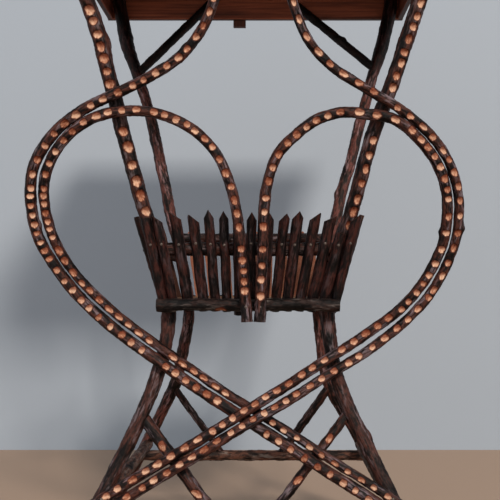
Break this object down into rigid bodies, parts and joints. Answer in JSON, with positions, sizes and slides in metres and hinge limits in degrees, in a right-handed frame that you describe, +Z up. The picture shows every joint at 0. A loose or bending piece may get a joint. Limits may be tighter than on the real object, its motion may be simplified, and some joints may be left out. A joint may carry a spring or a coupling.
{
  "type": "twig table",
  "caption": "Plank-topped stand on bent sapling legs, with chip-carved poles bent into hearts in front and a basket of split pickets round the waist.",
  "frame": {"origin": "On the floor, under the middle of the table top", "axes": "+Z up, -Y towards the front with the hearts, +X to the right seen from the front"},
  "size_m": [0.444, 0.424, 0.76],
  "materials": {
    "carved_sapling": "dark bark with rows of scooped cuts that show orange-tan wood",
    "bark_sapling": "dark brown bark with grey and reddish patches, dull",
    "split_picket": "bark outside, split raw wood inside, cut points",
    "sawn_board": "old sawn board, dark reddish brown, dull",
    "floor_board": "thin sawn board, brown, dull"
  },
  "bodies": {
    "root": {"front_left_leg": "carved_sapling", "front_right_leg": "carved_sapling", "rear_left_leg": "bark_sapling", "rear_right_leg": "bark_sapling", "left_outer_pole": "carved_sapling", "left_inner_pole": "carved_sapling", "right_outer_pole": "carved_sapling", "right_inner_pole": "carved_sapling", "top_board_1": "sawn_board", "top_board_2": "sawn_board", "top_board_3": "sawn_board", "top_board_4": "sawn_board", "front_apron": "sawn_board", "rear_apron": "sawn_board", "left_apron": "sawn_board", "right_apron": "sawn_board", "rear_batten": "sawn_board", "left_upper_brace": "bark_sapling", "right_upper_brace": "bark_sapling", "front_left_knee_brace": "carved_sapling", "front_right_knee_brace": "carved_sapling", "rear_left_knee_brace": "bark_sapling", "rear_right_knee_brace": "bark_sapling", "front_stretcher": "bark_sapling", "rear_stretcher": "bark_sapling", "left_stretcher": "bark_sapling", "right_stretcher": "bark_sapling", "front_rail": "bark_sapling", "rear_rail": "bark_sapling", "front_hoop": "bark_sapling", "rear_hoop": "bark_sapling", "left_hoop": "bark_sapling", "right_hoop": "bark_sapling", "front_floor_board": "floor_board", "rear_floor_board": "floor_board", "front_pickets": "split_picket", "rear_pickets": "split_picket", "left_pickets": "split_picket", "right_pickets": "split_picket"}
  },
  "joints": []
}
